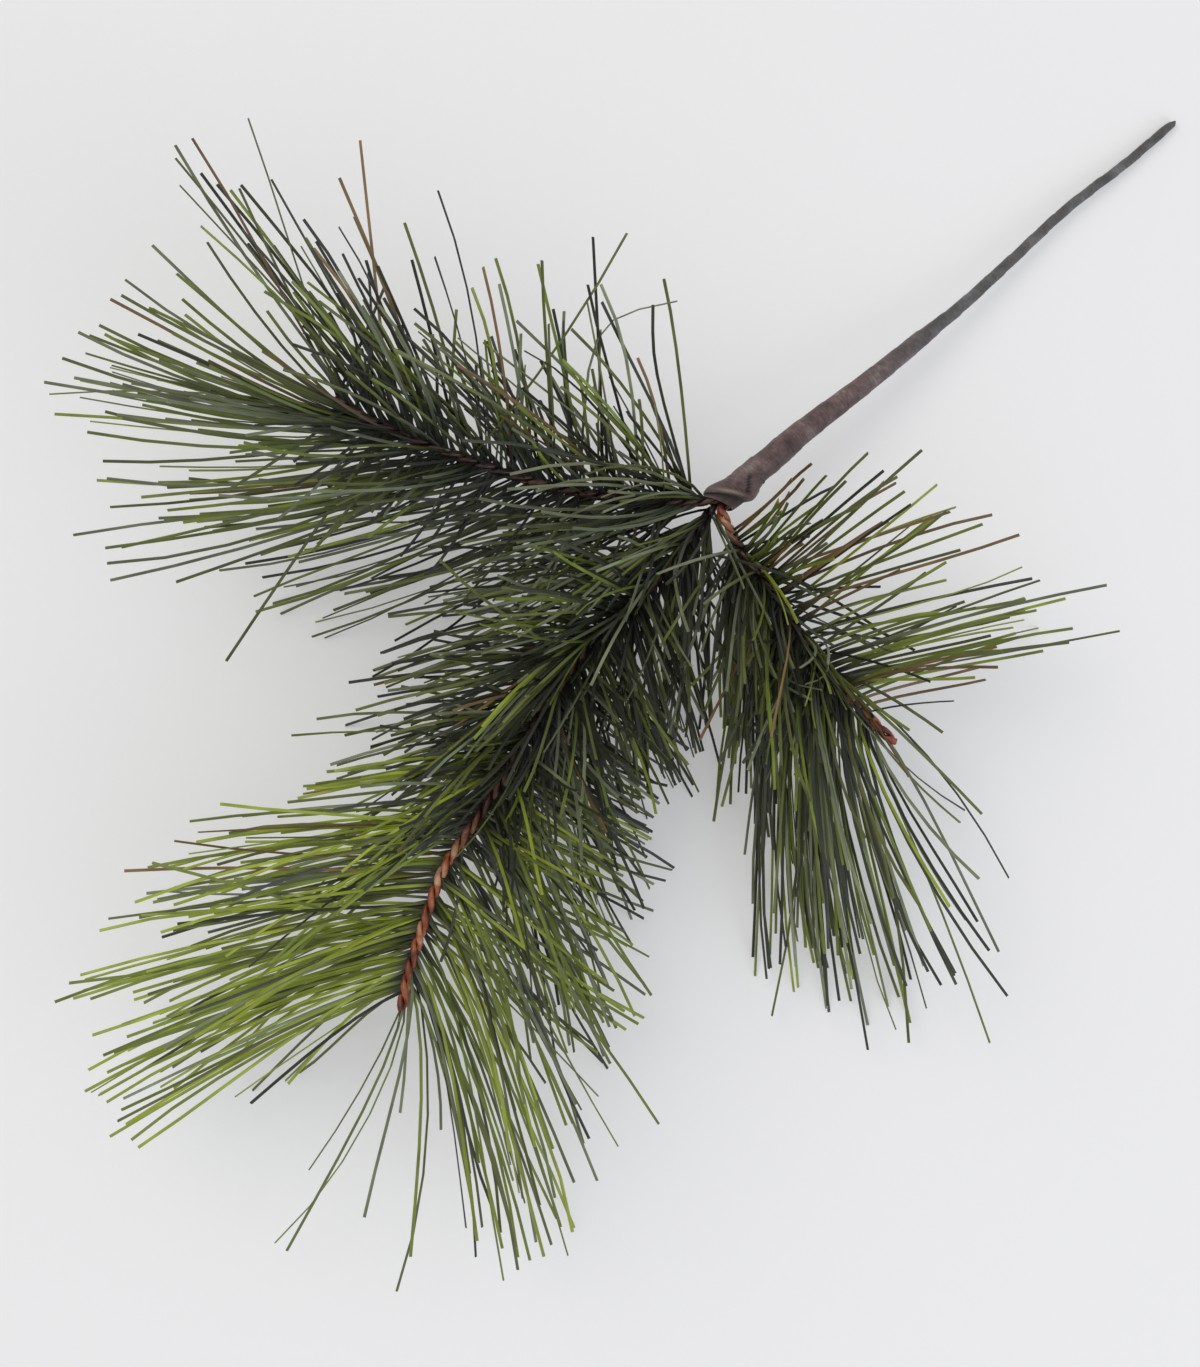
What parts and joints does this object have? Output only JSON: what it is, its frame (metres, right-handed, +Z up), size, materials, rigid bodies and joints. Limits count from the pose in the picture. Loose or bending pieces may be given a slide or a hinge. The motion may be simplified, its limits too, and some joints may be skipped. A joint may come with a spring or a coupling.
{
  "type": "artificial pine branch",
  "caption": "Artificial pine branch: a tape-wound wire stem with a folded collar and twigs of twisted wire gripping long flat green film needles, lying on its needles and stem tip.",
  "frame": {"origin": "on the table under the middle of the branch's bounding box", "axes": "+X to the right and +Y to the top of the picture, +Z up from the table; the stem's cut end points to +X +Y"},
  "size_m": [0.3055, 0.325, 0.0862],
  "materials": {
    "stem_tape": "grey-brown crepe florist tape, matt, wound on a slant",
    "steel_wire": "bare steel wire inside the tape",
    "coated_wire": "steel wire with a red-brown satin coat",
    "needle_film": "green plastic film, dark at the wires and lime at the tips, with some brown strips"
  },
  "bodies": {
    "root": {"stem_wire": "steel_wire", "stem_tape": "stem_tape", "twig_a_wire_1": "coated_wire", "twig_a_wire_2": "coated_wire", "twig_a_needles_01": "needle_film", "twig_a_needles_02": "needle_film", "twig_a_needles_03": "needle_film", "twig_a_needles_04": "needle_film", "twig_a_needles_05": "needle_film", "twig_a_needles_06": "needle_film", "twig_a_needles_07": "needle_film", "twig_a_needles_08": "needle_film", "twig_a_needles_09": "needle_film", "twig_a_needles_10": "needle_film", "twig_a_needles_11": "needle_film", "twig_a_needles_12": "needle_film", "twig_a_needles_13": "needle_film", "twig_a_needles_14": "needle_film", "twig_a_needles_15": "needle_film", "twig_a_needles_16": "needle_film", "twig_b_wire_1": "coated_wire", "twig_b_wire_2": "coated_wire", "twig_b_needles_01": "needle_film", "twig_b_needles_02": "needle_film", "twig_b_needles_03": "needle_film", "twig_b_needles_04": "needle_film", "twig_b_needles_05": "needle_film", "twig_b_needles_06": "needle_film", "twig_b_needles_07": "needle_film", "twig_b_needles_08": "needle_film", "twig_b_needles_09": "needle_film", "twig_b_needles_10": "needle_film", "twig_b_needles_11": "needle_film", "twig_b_needles_12": "needle_film", "twig_b_needles_13": "needle_film", "twig_b_needles_14": "needle_film", "twig_b_needles_15": "needle_film", "twig_b_needles_16": "needle_film", "twig_b_needles_17": "needle_film", "twig_b_needles_18": "needle_film", "twig_b_needles_19": "needle_film", "twig_b_needles_20": "needle_film", "twig_b_needles_21": "needle_film", "twig_c_wire_1": "coated_wire", "twig_c_wire_2": "coated_wire", "twig_c_needles_01": "needle_film", "twig_c_needles_02": "needle_film", "twig_c_needles_03": "needle_film", "twig_c_needles_04": "needle_film", "twig_c_needles_05": "needle_film", "twig_c_needles_06": "needle_film", "twig_c_needles_07": "needle_film", "twig_c_needles_08": "needle_film", "twig_c_needles_09": "needle_film", "twig_c_needles_10": "needle_film", "twig_c_needles_11": "needle_film", "twig_c_needles_12": "needle_film", "twig_c_needles_13": "needle_film", "twig_c_needles_14": "needle_film"}
  },
  "joints": []
}
